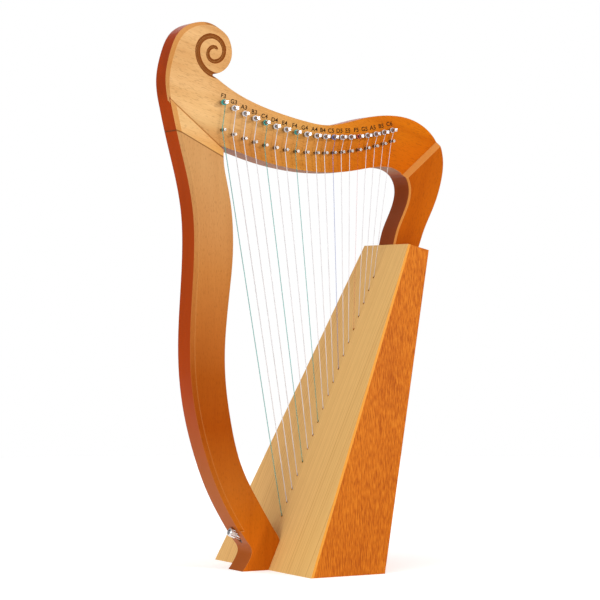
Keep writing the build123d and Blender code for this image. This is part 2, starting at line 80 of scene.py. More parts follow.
# ---------------------------------------------------------------- mesh helpers
def new_mesh(name, vertices, faces, material, body="frame", smooth=True):
    """A piece made of vertices and faces, riding on a CAD body if one is named."""
    mesh = bpy.data.meshes.new(name)
    mesh.from_pydata([tuple(v) for v in vertices], [], faces)
    mesh.validate()
    mesh.polygons.foreach_set("use_smooth", [smooth] * len(mesh.polygons))
    piece = bpy.data.objects.new(name, mesh)
    bpy.context.scene.collection.objects.link(piece)
    mesh.materials.append(material)
    if body:
        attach(piece, body)
    return piece


def tube(path, radius, sides=10):
    """Vertices and faces of a closed round tube along a path of points."""
    vertices, faces = [], []
    side = None
    for i, point in enumerate(path):
        ahead = path[min(i + 1, len(path) - 1)] - path[max(i - 1, 0)]
        along = ahead.normalized()
        if side is None:
            side = along.orthogonal().normalized()
        side = (side - along * side.dot(along)).normalized()
        other = along.cross(side)
        for k in range(sides):
            angle = 2 * math.pi * k / sides
            vertices.append(point + (side * math.cos(angle) + other * math.sin(angle)) * radius)
        if i:
            start = (i - 1) * sides
            for k in range(sides):
                after = (k + 1) % sides
                faces.append((start + k, start + after, start + sides + after, start + sides + k))
    last = (len(path) - 1) * sides
    faces.append(tuple(range(sides - 1, -1, -1)))
    faces.append(tuple(range(last, last + sides)))
    return vertices, faces


def join(parts):
    """Several lots of vertices and faces as one."""
    vertices, faces = [], []
    for some_vertices, some_faces in parts:
        start = len(vertices)
        vertices += some_vertices
        faces += [tuple(start + v for v in face) for face in some_faces]
    return vertices, faces


# ---------------------------------------------------------------- material helpers
class Nodes:
    """A material's node tree, with short ways to add and join nodes."""

    def __init__(self, name):
        self.material = bpy.data.materials.new(name)
        self.material.use_nodes = True
        self.tree = self.material.node_tree
        self.shader = self.tree.nodes["Principled BSDF"]

    def add(self, kind, **settings):
        """A new node of a kind, with its settings."""
        node = self.tree.nodes.new("ShaderNode" + kind)
        for key, value in settings.items():
            setattr(node, key, value)
        return node

    def join(self, output, to):
        """A link from an output to an input."""
        self.tree.links.new(output, to)

    def fix(self, **values):
        """Fixed values for the shader's inputs, with _ for a space in a name."""
        for key, value in values.items():
            self.shader.inputs[key.replace("_", " ")].default_value = value

    def grain_space(self, turn, scale, offset=(0, 0, 0)):
        """Object coordinates turned so that the grain runs along X, then stretched."""
        where = self.add("TexCoord")
        turned = self.add("Mapping")
        turned.inputs["Rotation"].default_value = turn
        stretched = self.add("Mapping")
        stretched.inputs["Scale"].default_value = scale
        stretched.inputs["Location"].default_value = offset
        self.join(where.outputs["Object"], turned.inputs["Vector"])
        self.join(turned.outputs["Vector"], stretched.inputs["Vector"])
        return stretched.outputs["Vector"]

    def noise(self, vector, detail, roughness=0.5, distortion=0.0):
        """Cloudy noise, mostly between 0.3 and 0.7."""
        node = self.add("TexNoise")
        node.inputs["Scale"].default_value = 1.0
        node.inputs["Detail"].default_value = detail
        node.inputs["Roughness"].default_value = roughness
        node.inputs["Distortion"].default_value = distortion
        self.join(vector, node.inputs["Vector"])
        return node.outputs["Fac"]

    def line_noise(self, value, scale, detail):
        """Noise that varies with one value only."""
        node = self.add("TexNoise", noise_dimensions="1D")
        node.inputs["Scale"].default_value = scale
        node.inputs["Detail"].default_value = detail
        self.join(value, node.inputs["W"])
        return node.outputs["Fac"]

    def ramp(self, value, stops):
        """Colours blended between stops, each a value from 0 to 1 and its colour."""
        node = self.add("ValToRGB")
        elements = node.color_ramp.elements
        while len(elements) < len(stops):
            elements.new(0.5)
        for element, (place, colour) in zip(elements, stops):
            element.position = place
            element.color = (*colour, 1)
        self.join(value, node.inputs["Fac"])
        return node.outputs["Color"]

    def grey(self, value, low, high, out_low=0.0, out_high=1.0):
        """A value's stretch from low to high, as 0 to 1 or as other limits."""
        node = self.add("MapRange")
        for key, number in zip(("From Min", "From Max", "To Min", "To Max"),
                               (low, high, out_low, out_high)):
            node.inputs[key].default_value = number
        self.join(value, node.inputs["Value"])
        return node.outputs["Result"]

    def mix(self, factor, first, second, blend="MIX"):
        """The first colour with a share of the second one blended in."""
        node = self.add("Mix", data_type="RGBA", blend_type=blend)
        for socket, value in ((node.inputs[0], factor), (node.inputs[6], first),
                              (node.inputs[7], second)):
            if isinstance(value, (int, float)):
                socket.default_value = value
            elif isinstance(value, tuple):
                socket.default_value = (*value, 1)
            else:
                self.join(value, socket)
        return node.outputs[2]

    def math(self, operation, first, second=None):
        """One sum on values or outputs."""
        node = self.add("Math", operation=operation)
        for socket, value in zip(node.inputs, (first, second)):
            if isinstance(value, (int, float)):
                socket.default_value = value
            elif value is not None:
                self.join(value, socket)
        return node.outputs[0]

    def object_part(self, output, axis):
        """One coordinate of a texture coordinate output."""
        parts = self.add("SeparateXYZ")
        self.join(self.add("TexCoord").outputs[output], parts.inputs[0])
        return parts.outputs[axis]

    def bump(self, height, strength, distance):
        """Fine relief on the shader. The node is returned, so that a normal can be joined to it."""
        node = self.add("Bump")
        node.inputs["Strength"].default_value = strength
        node.inputs["Distance"].default_value = distance
        self.join(height, node.inputs["Height"])
        self.join(node.outputs["Normal"], self.shader.inputs["Normal"])
        return node

    def rounded_edges(self, radius):
        """The normal with sharp edges rounded as by sandpaper, and 1 on those edges."""
        rounded = self.add("Bevel", samples=6)
        rounded.inputs["Radius"].default_value = radius
        likeness = self.add("VectorMath", operation="DOT_PRODUCT")
        self.join(rounded.outputs["Normal"], likeness.inputs[0])
        self.join(self.add("NewGeometry").outputs["Normal"], likeness.inputs[1])
        return rounded.outputs["Normal"], self.grey(likeness.outputs["Value"], 0.99, 0.94)


# ---------------------------------------------------------------- materials
# turns that bring the grain onto X
UPRIGHT = (0, math.radians(90), 0)
LEANING = (0, BOARD_RISE, 0)
SIDE_GRAIN = (0, math.radians(83), 0)

# painted shade in the scroll's spiral groove
GROOVE_SHADE_COLOUR = (0.20, 0.045, 0.005)
JOINT_COLOUR = (0.14, 0.04, 0.008)
# paler sharp edges: partly wear, partly painted highlight
WEAR_AND_HIGHLIGHT_COLOUR = (0.80, 0.42, 0.14)
# painted sheen on the narrow faces near the foot, and painted reflection of the white floor on
# faces turned down
FOOT_SHEEN_COLOUR = (0.36, 0.085, 0.012)
UNDERSIDE_REFLECTION_COLOUR = (0.36, 0.16, 0.115)
SPIRAL_MIDDLE = TOE + Vector((-76.0, 0, 632.0)) * MM
SPIRAL_REACH = 29.0 * MM
GROOVE_START, GROOVE_WALL, GROOVE_FLOOR = 0.1 * MM, 0.9 * MM, 1.8 * MM  # below the pin face
GROOVE_LIMIT = 4.0 * MM
JOINT_START = TOE + Vector((-123.5, 0, 539.0)) * MM
JOINT_END = TOE + Vector((-62.8, 0, 508.7)) * MM
NECK_LOWER_EDGE, NECK_UPPER_EDGE = 505.0 * MM, 595.0 * MM
EDGE_RADIUS = 1.1 * MM


def wood_figure(n, turn, seed, pale, mid, deep):
    """The wood's own colour, and the noises it is made of: figure, clouds, fibres and pores."""
    offset = (seed, seed * 1.7, seed * 0.6)
    figure = n.noise(n.grain_space(turn, (4, 38, 38), offset), detail=5, roughness=0.55,
                     distortion=0.5)
    colour = n.ramp(figure, [(0.28, deep), (0.48, mid), (0.72, pale)])
    fibres = n.noise(n.grain_space(turn, (28, 900, 900), offset), detail=6, roughness=0.6)
    colour = n.mix(n.grey(fibres, 0.35, 0.65, 0.0, 0.40), colour, deep)
    clouds = n.noise(n.grain_space(turn, (2.5, 7, 7), offset), detail=2)
    colour = n.mix(n.grey(clouds, 0.35, 0.70, 0.0, 0.45), colour, pale)
    pores = n.noise(n.grain_space(turn, (190, 1100, 1100), offset), detail=2, roughness=0.4)
    dark_pores = n.grey(pores, 0.56, 0.68, 0.0, 0.30)
    colour = n.mix(dark_pores, colour, tuple(c * 0.45 for c in deep))
    return colour, figure, clouds, fibres, dark_pores


def stain_tint(n, clouds, axis, places):
    """The stain's tint along one coordinate. The clouds let its borders wander."""
    first, last = places[0][0], places[-1][0]
    along = n.math("ADD", n.object_part("Object", axis), n.grey(clouds, 0, 1, -0.02, 0.02))
    stops = [((place - first) / (last - first), tint) for place, tint in places]
    return n.ramp(n.grey(along, first, last), stops)


def narrow_faces(n, figure, narrow):
    """The faces across the frame's thickness: deeper red-brown, partly from stain soaked into the
    edge grain and partly as painted shade; paler and pinker near the foot as a painted sheen, and
    greyish below as a painted reflection of the white floor.
    """
    colour = n.mix(n.grey(figure, 0.3, 0.7), tuple(c * 0.85 for c in narrow), narrow)
    # painted sheen: the narrow faces paler and pinker toward the foot
    near_foot = n.grey(n.object_part("Object", "Z"), 0.22, 0.11)
    colour = n.mix(near_foot, colour, FOOT_SHEEN_COLOUR)
    # painted reflection of the white floor on faces turned down
    downward = n.grey(n.object_part("Normal", "Z"), -0.55, -0.90)
    return n.mix(downward, colour, UNDERSIDE_REFLECTION_COLOUR)


def with_chamfers(n, colour, facing, chamfer, shaded_chamfer):
    """The colour, and on chamfers a share of another, where the stain is sanded thin: a lighter
    tone as painted highlight on chamfers facing -X, a darker one as painted shade on those facing
    +X.
    """
    sloping = n.math("MULTIPLY", n.grey(facing, 0.30, 0.50), n.grey(facing, 0.97, 0.85))
    # lit and shaded chamfer tones: painted highlight and painted shade, chosen by which way the
    # chamfer faces
    lit = n.math("LESS_THAN", n.object_part("Normal", "X"), 0.0)
    shaded = n.math("SUBTRACT", 1.0, lit)
    for (tone, share), side in ((chamfer, lit), (shaded_chamfer, shaded)):
        amount = n.math("MULTIPLY", n.math("MULTIPLY", sloping, side), share)
        colour = n.mix(amount, colour, tone)
    return colour


def stained_wood(name, turn, seed, pale, mid, deep, stain, narrow, chamfer, shaded_chamfer,
                 scroll=False, glue_line=True):
    """Fine-grained wood with an orange stain under varnish.

    stain is a coordinate and, at places along it, the stain's tint. narrow is the colour of the
    faces across the frame's thickness, partly stain in the edge grain and partly painted shade.
    chamfer is the colour and the share of it on chamfers where the stain is sanded thin, with a
    painted highlight, and shaded_chamfer is the same on those that face +X, as painted shade.
    """
    n = Nodes(name)
    colour, figure, clouds, fibres, dark_pores = wood_figure(n, turn, seed, pale, mid, deep)
    colour = n.mix(1.0, colour, stain_tint(n, clouds, *stain), "MULTIPLY")
    facing = n.math("ABSOLUTE", n.object_part("Normal", "Y"))
    # the narrow faces' colour is partly stain in the edge grain and partly painted shade
    colour = n.mix(n.grey(facing, 0.45, 0.15), colour, narrow_faces(n, figure, narrow))
    colour = with_chamfers(n, colour, facing, chamfer, shaded_chamfer)
    if scroll:
        colour = n.mix(1.0, colour, low_to_high(n), "MULTIPLY")
        # painted shade in the spiral groove
        colour = n.mix(groove_shade(n), colour, GROOVE_SHADE_COLOUR)
    rounded, on_edge = n.rounded_edges(EDGE_RADIUS)
    # sharp edges on the front and back faces paler, partly as wear and partly as painted highlight
    wear_and_highlight = n.math("MULTIPLY", on_edge, n.grey(facing, 0.15, 0.45, 0.0, 0.35))
    colour = n.mix(wear_and_highlight, colour, WEAR_AND_HIGHLIGHT_COLOUR)
    if glue_line:
        colour = n.mix(at_joint(n), colour, JOINT_COLOUR)
    n.join(colour, n.shader.inputs["Base Color"])
    n.join(n.grey(fibres, 0.3, 0.7, 0.30, 0.42), n.shader.inputs["Roughness"])
    n.fix(Coat_Weight=0.025, Coat_Roughness=0.12, Specular_IOR_Level=0.04)
    n.shader.inputs["Specular Tint"].default_value = (1.0, 0.55, 0.2, 1)
    relief = n.bump(n.math("SUBTRACT", fibres, dark_pores), 0.25, 0.15 * MM)
    n.join(rounded, relief.inputs["Normal"])
    return n.material


def low_to_high(n):
    """The neck's tint by height: deeper orange on its lower edge, paler and cooler in the middle, a
    little darker along its upper edge.
    """
    share = n.grey(n.object_part("Object", "Z"), NECK_LOWER_EDGE, NECK_UPPER_EDGE)
    return n.ramp(share, [
        (0.0, (0.92, 0.80, 0.48)), (0.28, (0.93, 0.86, 0.76)), (0.48, (0.98, 1.06, 1.12)),
        (0.70, (0.98, 1.02, 1.04)), (1.0, (0.90, 0.90, 0.90)),
    ])


def at_joint(n):
    """The share of the thin dark glue line at the top of the pillar."""
    along = (JOINT_END - JOINT_START).normalized()
    from_start_x = n.math("SUBTRACT", n.object_part("Object", "X"), JOINT_START.x)
    from_start_z = n.math("SUBTRACT", n.object_part("Object", "Z"), JOINT_START.z)
    across = n.math("MULTIPLY", from_start_x, along.z)
    up = n.math("MULTIPLY", from_start_z, along.x)
    gap = n.math("ABSOLUTE", n.math("SUBTRACT", up, across))
    return n.grey(gap, 0.5 * MM, 1.0 * MM, 0.7, 0.0)


def groove_shade(n):
    """The share of painted shade in the groove: in the scroll's carving, just below the pin face
    near its spiral, darkest near the pin face and a little lighter deeper in.
    """
    across = n.math("SUBTRACT", n.object_part("Object", "X"), SPIRAL_MIDDLE.x)
    up = n.math("SUBTRACT", n.object_part("Object", "Z"), SPIRAL_MIDDLE.z)
    squares = n.math("ADD", n.math("POWER", across, 2.0), n.math("POWER", up, 2.0))
    inside = n.math("LESS_THAN", n.math("POWER", squares, 0.5), SPIRAL_REACH)
    depth = n.math("SUBTRACT", n.object_part("Object", "Y"), PIN_FACE)
    carved = n.math("MULTIPLY", n.grey(depth, GROOVE_WALL, GROOVE_FLOOR, 0.95, 0.70),
                    n.math("GREATER_THAN", depth, GROOVE_START))
    shallow = n.math("LESS_THAN", depth, GROOVE_LIMIT)
    return n.math("MULTIPLY", n.math("MULTIPLY", inside, shallow), carved)


SPRUCE_PALE = (0.74, 0.46, 0.16)
SPRUCE_FIBRE = (0.50, 0.28, 0.085)
SPRUCE_LINE = (0.42, 0.17, 0.025)
SPRUCE_RIM = (0.68, 0.27, 0.028)
DARK_LINES = (-61.5, -67.5, -84.0, -89.5, -109.0, 52.0, 58.5, 93.0)  # mm from the middle


def dark_lines(n, across):
    """The share of the few dark lines that run up the soundboard."""
    most = 0.0
    for place in DARK_LINES:
        gap = n.math("ABSOLUTE", n.math("SUBTRACT", across, place * MM))
        most = n.math("MAXIMUM", n.grey(gap, 0.25 * MM, 0.75 * MM, 0.55, 0.0), most)
    return most


def spruce(name):
    """Pale softwood: straight yearly lines along the board, some of them dark and in pairs."""
    n = Nodes(name)
    side = n.object_part("Object", "Y")
    wander = n.noise(n.grain_space(LEANING, (1.3, 6, 1)), detail=2)
    across = n.math("ADD", side, n.grey(wander, 0, 1, -1.2 * MM, 1.2 * MM))
    rings = n.line_noise(across, 420.0, 3.0)
    bands = n.line_noise(across, 28.0, 2.0)
    colour = n.ramp(rings, [
        (0.38, (0.63, 0.365, 0.115)), (0.50, (0.69, 0.420, 0.140)), (0.66, (0.75, 0.465, 0.165)),
    ])
    colour = n.mix(n.grey(bands, 0.35, 0.65, 0.0, 0.5), colour, SPRUCE_PALE)
    fibres = n.noise(n.grain_space(LEANING, (45, 1300, 1300)), detail=4)
    colour = n.mix(n.grey(fibres, 0.45, 0.70, 0.0, 0.25), colour, SPRUCE_FIBRE)
    colour = n.mix(dark_lines(n, across), colour, SPRUCE_LINE)
    paler = n.mix(1.0, colour, (1.06, 1.02, 1.08), "MULTIPLY")
    colour = n.mix(n.grey(side, -0.08, 0.08), colour, paler)
    rim = n.grey(n.math("ABSOLUTE", n.object_part("Normal", "Y")), 0.5, 0.8)
    colour = n.mix(rim, colour, SPRUCE_RIM)
    n.join(colour, n.shader.inputs["Base Color"])
    n.join(n.grey(fibres, 0.3, 0.7, 0.42, 0.55), n.shader.inputs["Roughness"])
    n.fix(Coat_Weight=0.05, Coat_Roughness=0.25, Specular_IOR_Level=0.1)
    n.bump(n.math("ADD", fibres, rings), 0.20, 0.12 * MM)
    return n.material


DARK_FLECK, LIGHT_FLECK = (0.28, 0.050, 0.002), (0.68, 0.22, 0.012)


def speckled_wood(name, turn, through, seed):
    """Open-pored orange-brown veneer with short dark flecks along the grain.

    through is the turned axis that runs through the sheet, along which it barely varies.
    """
    n = Nodes(name)

    def stretch(along, across):
        scale = [along, across, across]
        scale[through] = along
        return tuple(scale)

    offset = (seed, seed * 2.1, seed)
    figure = n.noise(n.grain_space(turn, stretch(5, 22), offset), detail=3)
    colour = n.ramp(figure, [
        (0.34, (0.455, 0.106, 0.003)), (0.50, (0.49, 0.120, 0.004)), (0.68, (0.52, 0.135, 0.005)),
    ])
    flecks = n.noise(n.grain_space(turn, stretch(110, 1000), offset), detail=3, roughness=0.5)
    colour = n.mix(n.grey(flecks, 0.50, 0.66, 0.0, 0.75), colour, DARK_FLECK)
    colour = n.mix(n.grey(flecks, 0.48, 0.34, 0.0, 0.50), colour, LIGHT_FLECK)
    n.join(colour, n.shader.inputs["Base Color"])
    n.join(n.grey(flecks, 0.3, 0.7, 0.40, 0.55), n.shader.inputs["Roughness"])
    n.fix(Coat_Weight=0.03, Coat_Roughness=0.25, Specular_IOR_Level=0.05)
    n.bump(n.grey(flecks, 0.50, 0.62, 1.0, 0.0), 0.35, 0.15 * MM)
    return n.material


def bare_wood(name, turn, colour):
    """Unfinished wood, as on the blocks inside the box."""
    n = Nodes(name)
    fibres = n.noise(n.grain_space(turn, (30, 700, 700)), detail=5)
    dark = tuple(c * 0.7 for c in colour)
    n.join(n.ramp(fibres, [(0.35, dark), (0.62, colour)]), n.shader.inputs["Base Color"])
    n.join(n.grey(fibres, 0.3, 0.7, 0.6, 0.8), n.shader.inputs["Roughness"])
    n.bump(fibres, 0.3, 0.2 * MM)
    return n.material


def metal(name, colour, roughness, brushed=(400, 400, 400)):
    """Metal with fine scratches. brushed is how closely they lie along each axis."""
    n = Nodes(name)
    scratches = n.noise(n.grain_space((0, 0, 0), brushed), detail=3)
    dark = tuple(c * 0.8 for c in colour)
    n.join(n.ramp(scratches, [(0.35, dark), (0.65, colour)]), n.shader.inputs["Base Color"])
    n.join(n.grey(scratches, 0.3, 0.7, roughness * 0.7, roughness * 1.4),
           n.shader.inputs["Roughness"])
    n.fix(Metallic=1.0)
    n.bump(scratches, 0.08, 0.05 * MM)
    return n.material


def nylon(name, colour, alpha):
    """String nylon: half clear along the run, solid where its turns lie on top of one another."""
    n = Nodes(name)
    cloud = n.noise(n.grain_space((0, 0, 0), (60, 60, 60)), detail=2)
    pale = tuple(min(1.0, c * 1.15 + 0.02) for c in colour)
    n.join(n.ramp(cloud, [(0.35, colour), (0.65, pale)]), n.shader.inputs["Base Color"])
    n.join(n.grey(cloud, 0.3, 0.7, 0.16, 0.28), n.shader.inputs["Roughness"])
    past_run = PIN_FACE - COIL_STANDOFF - 1.4 * MM  # just beyond the thickest run
    coiled = n.grey(n.object_part("Object", "Y"), past_run, past_run - 0.3 * MM, alpha, 0.95)
    n.join(coiled, n.shader.inputs["Alpha"])
    n.fix(IOR=1.53)
    return n.material


def ink(name):
    """Matt dark brown ink for the note names."""
    n = Nodes(name)
    speck = n.noise(n.grain_space((0, 0, 0), (2500, 2500, 2500)), detail=2)
    n.join(n.ramp(speck, [(0.4, (0.020, 0.008, 0.003)), (0.7, (0.045, 0.018, 0.007))]),
           n.shader.inputs["Base Color"])
    n.fix(Roughness=0.7, Specular_IOR_Level=0.05)
    return n.material


neck_wood = stained_wood(
    "neck_wood", (0, math.radians(-18), 0), 3.1,
    pale=(0.77, 0.465, 0.210), mid=(0.68, 0.39, 0.157), deep=(0.54, 0.255, 0.081),
    stain=("X", [
        (-0.150, (1.0, 1.0, 1.0)), (-0.085, (0.88, 0.74, 0.58)), (0.01, (0.86, 0.66, 0.36)),
        (0.05, (0.82, 0.42, 0.07)), (0.12, (0.78, 0.32, 0.02)), (0.19, (0.78, 0.30, 0.01)),
    ]),
    narrow=(0.38, 0.042, 0.001), chamfer=((0.55, 0.20, 0.033), 0.65),
    shaded_chamfer=((0.36, 0.11, 0.012), 0.75), scroll=True,
)
pillar_wood = stained_wood(
    "pillar_wood", UPRIGHT, 8.4,
    pale=(0.54, 0.285, 0.115), mid=(0.49, 0.25, 0.095), deep=(0.42, 0.19, 0.065),
    stain=("Z", [
        (0.02, (1.05, 0.46, 0.05)), (0.06, (0.90, 0.42, 0.05)), (0.10, (0.80, 0.39, 0.08)),
        (0.18, (0.60, 0.21, 0.02)), (0.24, (0.62, 0.26, 0.05)), (0.30, (0.76, 0.43, 0.18)),
        (0.37, (0.86, 0.62, 0.36)), (0.50, (1.0, 1.0, 0.95)),
    ]),
    narrow=(0.38, 0.045, 0.001), chamfer=((0.40, 0.14, 0.030), 0.0),
    shaded_chamfer=((0.40, 0.12, 0.012), 0.2),
)
arm_wood = stained_wood(
    "arm_wood", (0, math.radians(70), 0), 5.7,
    pale=(0.47, 0.105, 0.004), mid=(0.42, 0.082, 0.002), deep=(0.34, 0.056, 0.001),
    stain=("Z", [
        (0.40, (0.90, 0.80, 0.80)), (0.45, (1.0, 1.0, 1.0)), (0.55, (1.0, 1.05, 1.1)),
    ]),
    narrow=(0.24, 0.045, 0.008), chamfer=((0.58, 0.225, 0.048), 0.8),
    shaded_chamfer=((0.50, 0.19, 0.04), 0.6), glue_line=False,
)
spruce_wood = spruce("spruce_wood")
side_wood_near = speckled_wood("side_wood_near", SIDE_GRAIN, 1, 1.3)
side_wood_far = speckled_wood("side_wood_far", SIDE_GRAIN, 1, 6.2)
back_wood = speckled_wood("back_wood", UPRIGHT, 2, 9.9)
bottom_wood = speckled_wood("bottom_wood", (0, 0, math.radians(90)), 2, 4.4)
block_wood = bare_wood("block_wood", LEANING, (0.62, 0.42, 0.22))
rib_wood = bare_wood("rib_wood", LEANING, (0.42, 0.22, 0.10))
pin_steel = metal("pin_steel", (0.50, 0.50, 0.53), 0.24, (300, 2500, 300))
guide_steel = metal("guide_steel", (0.30, 0.27, 0.25), 0.26, (300, 2500, 300))
bolt_steel = metal("bolt_steel", (0.86, 0.86, 0.88), 0.14)
washer_steel = metal("washer_steel", (0.60, 0.60, 0.62), 0.30)
insert_brass = metal("insert_brass", (0.72, 0.52, 0.20), 0.30)
clear_nylon = nylon("clear_nylon", (0.62, 0.595, 0.61), 0.88)
green_nylon = nylon("green_nylon", (0.02, 0.33, 0.28), 0.55)
blue_nylon = nylon("blue_nylon", (0.14, 0.18, 0.46), 0.45)
red_nylon = nylon("red_nylon", (0.55, 0.05, 0.04), 0.20)
label_ink = ink("label_ink")

NODE_MATERIALS = {
    "neck": neck_wood,
    "pillar": pillar_wood,
    "shoulder_arm": arm_wood,
    "soundboard": spruce_wood,
    "side_panel_near": side_wood_near,
    "side_panel_far": side_wood_far,
    "back_panel": back_wood,
    "bottom_board": bottom_wood,
    "top_block": block_wood,
    "foot_block": block_wood,
    "pillar_dowels": block_wood,
    "shoulder_dowels": block_wood,
    "string_rib": rib_wood,
    "bridge_pins": guide_steel,
    "bolt_washer": washer_steel,
    "bolt_insert": insert_brass,
}
for note in NOTES:
    NODE_MATERIALS[f"tuning_pin_{note}"] = pin_steel
for node, material in NODE_MATERIALS.items():
    for material_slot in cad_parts[node].material_slots:
        material_slot.material = material


# ---------------------------------------------------------------- strings
PIN_RADIUS = 2.5 * MM
COIL_CLEARANCE = 0.06 * MM
BRIDGE_STANDOFF = 5.8 * MM
BRIDGE_GROOVE_RADIUS = 1.4 * MM
BRIDGE_CLEARANCE = 0.02 * MM
BRIDGE_ARC_LOW = (66.7, 518.2)  # lowest point of the guide pins' arc: mm from the toe, height
BRIDGE_ARC_RISE = 0.00144  # rise in mm for each square mm aside
EYE_OUT = 8.4 * MM  # from the pin face to the eye
FIRST_STRING_HOLE, STRING_HOLE_PITCH = 70.8 * MM, 18.22 * MM
HOLE_BEND = 1.5 * MM
THICKEST_STRING, THINNEST_STRING = 1.1 * MM, 0.6 * MM
BOARD_AND_RIB = 8.2 * MM
KNOT_DEPTH = BOARD_AND_RIB + 2.1 * MM
KNOT_SIZE = 1.45 * MM
KNOT_STEPS = 48
COIL_TURNS = 3
COIL_STEPS = 20  # points in a turn
COIL_PITCH = 2.06  # string radii: turn lies against turn
TAIL_TURN = math.radians(40)  # from the end of the last turn to the eye


def string_material(note):
    """The nylon and the slot for a note's string."""
    if note in GREEN_NOTES:
        return green_nylon, "string_green"
    if note in BLUE_NOTES:
        return blue_nylon, "string_blue"
    if note in RED_NOTES:
        return red_nylon, "string_red"
    return clear_nylon, "string_clear"


def bridge_place(index):
    """The guide pin's centre: under its tuning pin, on a curve of its own."""
    x = PIN_PLACES[index].x
    aside = (x - TOE.x) / MM - BRIDGE_ARC_LOW[0]
    return Vector((x, 0, (BRIDGE_ARC_LOW[1] + BRIDGE_ARC_RISE * aside ** 2) * MM))


def curve(first, control, last, steps):
    """The points between first and last of a short curve that is drawn toward control."""
    points = []
    for k in range(1, steps):
        s = k / steps
        points.append(first * (1 - s) ** 2 + control * 2 * s * (1 - s) + last * s ** 2)
    return points


def run_path(index, radius):
    """A string's path from its coil into the box, and the angle at which it leaves the pin."""
    pin = PIN_PLACES[index]
    hole = TOE + BOARD_UP * (FIRST_STRING_HOLE + STRING_HOLE_PITCH * index)
    winding = PIN_RADIUS + radius + COIL_CLEARANCE
    axis_point = Vector((pin.x, PIN_FACE - COIL_STANDOFF - radius, pin.z))
    bridge = bridge_place(index) + ACROSS * (PIN_FACE - BRIDGE_STANDOFF)
    round_pin = BRIDGE_GROOVE_RADIUS + radius + BRIDGE_CLEARANCE
    bend = bridge - Vector((round_pin, 0, 0))
    for _ in range(4):  # the coil's tangent and the bend depend on each other
        fall = bend - axis_point
        reach = math.hypot(fall.x, fall.z)
        leave = math.atan2(fall.z, fall.x) + math.acos(winding / reach)
        start = axis_point + Vector((math.cos(leave), 0, math.sin(leave))) * winding
        down = Vector((bend.x - start.x, 0, bend.z - start.z)).normalized()
        out = Vector((hole.x - bend.x, 0, hole.z - bend.z)).normalized()
        turn = math.acos(min(1.0, down.dot(out)))
        bend = bridge - (out - down).normalized() * (round_pin / math.cos(turn / 2))

    before = bend + (start - bend).normalized() * round_pin * math.tan(turn / 2)
    after = bend + (hole - bend).normalized() * round_pin * math.tan(turn / 2)
    rim = hole + (after - hole).normalized() * HOLE_BEND
    mouth = hole + INWARD * HOLE_BEND
    path = [start, before, *curve(before, bend, after, 6), after]
    path += [rim, *curve(rim, hole, mouth, 5), mouth]
    path.append(hole + INWARD * (BOARD_AND_RIB + 1.0 * MM))
    return path, leave


def knot(index, radius):
    """A small overhand knot behind the rib."""
    hole = TOE + BOARD_UP * (FIRST_STRING_HOLE + STRING_HOLE_PITCH * index)
    centre = hole + INWARD * KNOT_DEPTH
    path = []
    for k in range(KNOT_STEPS + 1):
        t = 2 * math.pi * k / KNOT_STEPS
        u = (math.sin(t) + 2 * math.sin(2 * t)) / 3
        v = (math.cos(t) - 2 * math.cos(2 * t)) / 3
        w = -math.sin(3 * t) / 2.4
        path.append(centre + (ACROSS * u + BOARD_UP * v + INWARD * w) * KNOT_SIZE)
    return tube(path, radius * 0.9, 8)


def coil_path(index, radius, leave):
    """Turns wound out along the pin from where the run leaves it, then the end in the eye."""
    pin = PIN_PLACES[index]
    winding = PIN_RADIUS + radius + COIL_CLEARANCE
    first_y = PIN_FACE - COIL_STANDOFF - radius
    eye = Vector((pin.x, PIN_FACE - EYE_OUT, pin.z))

    def on_pin(angle, y):
        return Vector((pin.x + winding * math.cos(angle), y, pin.z + winding * math.sin(angle)))

    path = []
    for k in range(COIL_TURNS * COIL_STEPS + 1):
        turns = k / COIL_STEPS
        path.append(on_pin(leave + 2 * math.pi * turns, first_y - COIL_PITCH * radius * turns))
    path.append(on_pin(leave + TAIL_TURN, (path[-1].y + eye.y) / 2 - 0.3 * radius))
    path += [eye + Vector((PIN_RADIUS * 0.8, 0, 0)), eye]
    return path


def string(index, note):
    """A string's run with its knot, which stays, and its coil, which turns with the pin."""
    material, slot_name = string_material(note)
    share = index / (len(NOTES) - 1)
    radius = (THICKEST_STRING + (THINNEST_STRING - THICKEST_STRING) * share) / 2
    path, leave = run_path(index, radius)
    run_parts = join([tube(path, radius), knot(index, radius)])
    run = new_mesh(f"string_{note}_run", *run_parts, material)
    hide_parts(f"string_{note}")
    turns = tube(coil_path(index, radius, leave), radius)
    coil = new_mesh(f"string_{note}_coil", *turns, material, f"pin_{note}")


for index, note in enumerate(NOTES):
    string(index, note)


# ---------------------------------------------------------------- pillar bolt
BOLT_FACE = TOE + Vector((-33.0, 0, 43.0)) * MM
HEAD_PROUD, HEAD_LENGTH, HEAD_RADIUS = 13.5 * MM, 10.0 * MM, 5.6 * MM
COLLAR_RADIUS, COLLAR_END = 4.0 * MM, 7.5 * MM
SHANK_RADIUS, SHANK_END = 3.0 * MM, 68.9 * MM
SOCKET_RADIUS, SOCKET_DEPTH = 2.9 * MM, 4.0 * MM
KNURLS = 16
KNURL_DEPTH = 0.75 * MM
KNURL_SHAPE = (0.0, 0.0, 0.15, 0.8, 1.0, 0.6)  # share of the depth at points along one knurl
BOLT_SIDES = KNURLS * len(KNURL_SHAPE)


